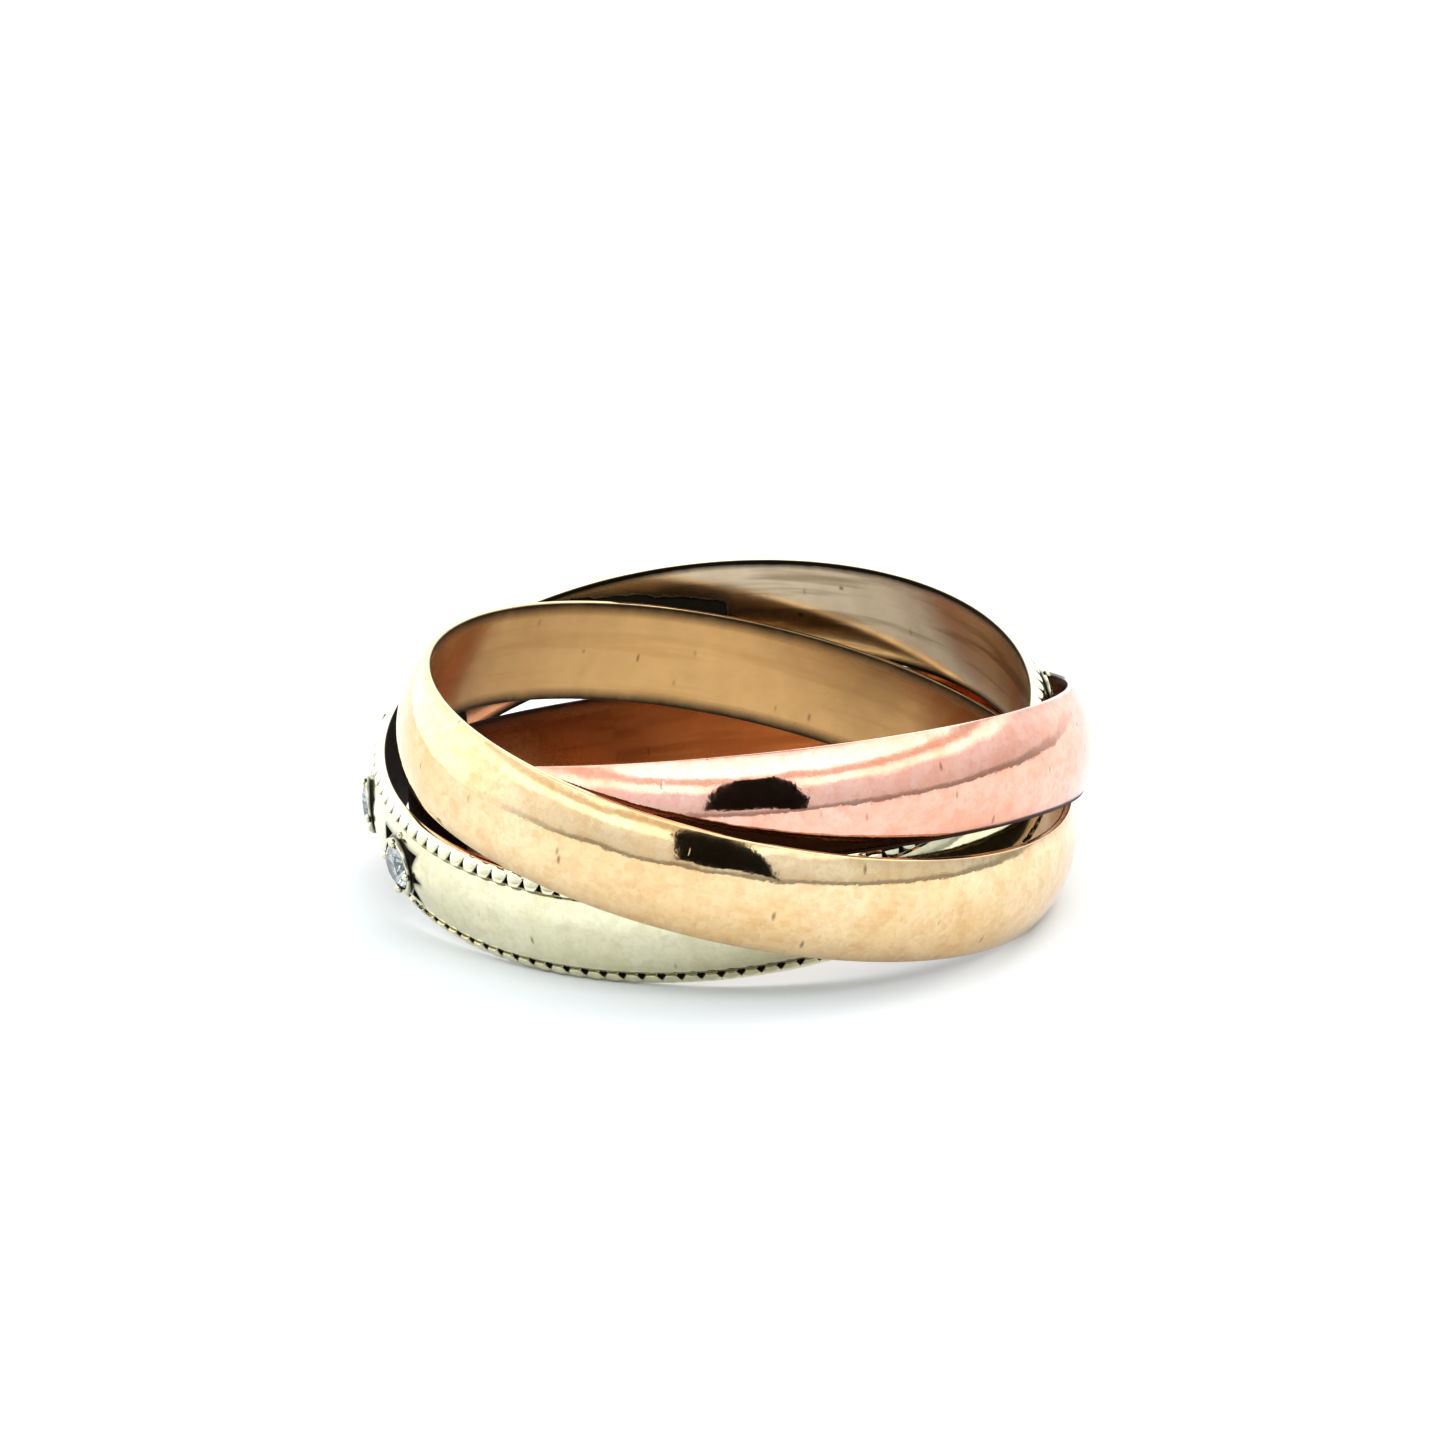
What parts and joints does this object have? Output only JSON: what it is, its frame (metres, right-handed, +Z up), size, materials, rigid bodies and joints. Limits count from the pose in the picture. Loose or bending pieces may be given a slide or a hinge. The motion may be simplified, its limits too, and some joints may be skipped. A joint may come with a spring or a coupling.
{
  "type": "three-band rolling ring with diamonds",
  "caption": "Finger ring of interlocked domed bands in yellow, rose and white gold, the white one with a row of claw-set round diamonds and beaded edges.",
  "frame": {"origin": "on the floor, under the middle of the whole ring's bounding box", "axes": "+Z up, along the finger opening as the ring lies on its side; the yellow band is outermost towards -Y, the rose band towards +X, the white band with its stones towards -X and +Y"},
  "size_m": [0.0204, 0.0204, 0.0071],
  "materials": {
    "yellow_gold": "polished and finely scratched",
    "rose_gold": "polished and finely scratched",
    "white_gold": "polished and finely scratched",
    "diamond": "polished facets"
  },
  "bodies": {
    "yellow": {"yellow_band": "yellow_gold"},
    "rose": {"rose_band": "rose_gold"},
    "white": {"white_band": "white_gold", "diamond_01": "diamond", "diamond_02": "diamond", "diamond_03": "diamond", "diamond_04": "diamond", "diamond_05": "diamond", "diamond_06": "diamond", "diamond_07": "diamond", "diamond_08": "diamond", "diamond_09": "diamond", "diamond_10": "diamond", "diamond_11": "diamond"}
  },
  "joints": [
    {"name": "rose_roll", "type": "hinge", "parent": "yellow", "child": "rose", "pos_m": [0.00065, 0.00046, 0.0034], "axis": [-0.0937, 0.1891, 0.9775], "continuous": true},
    {"name": "white_roll", "type": "hinge", "parent": "yellow", "child": "white", "pos_m": [-0.00042, 0.00052, 0.00353], "axis": [-0.0955, -0.2047, 0.9742], "continuous": true}
  ]
}
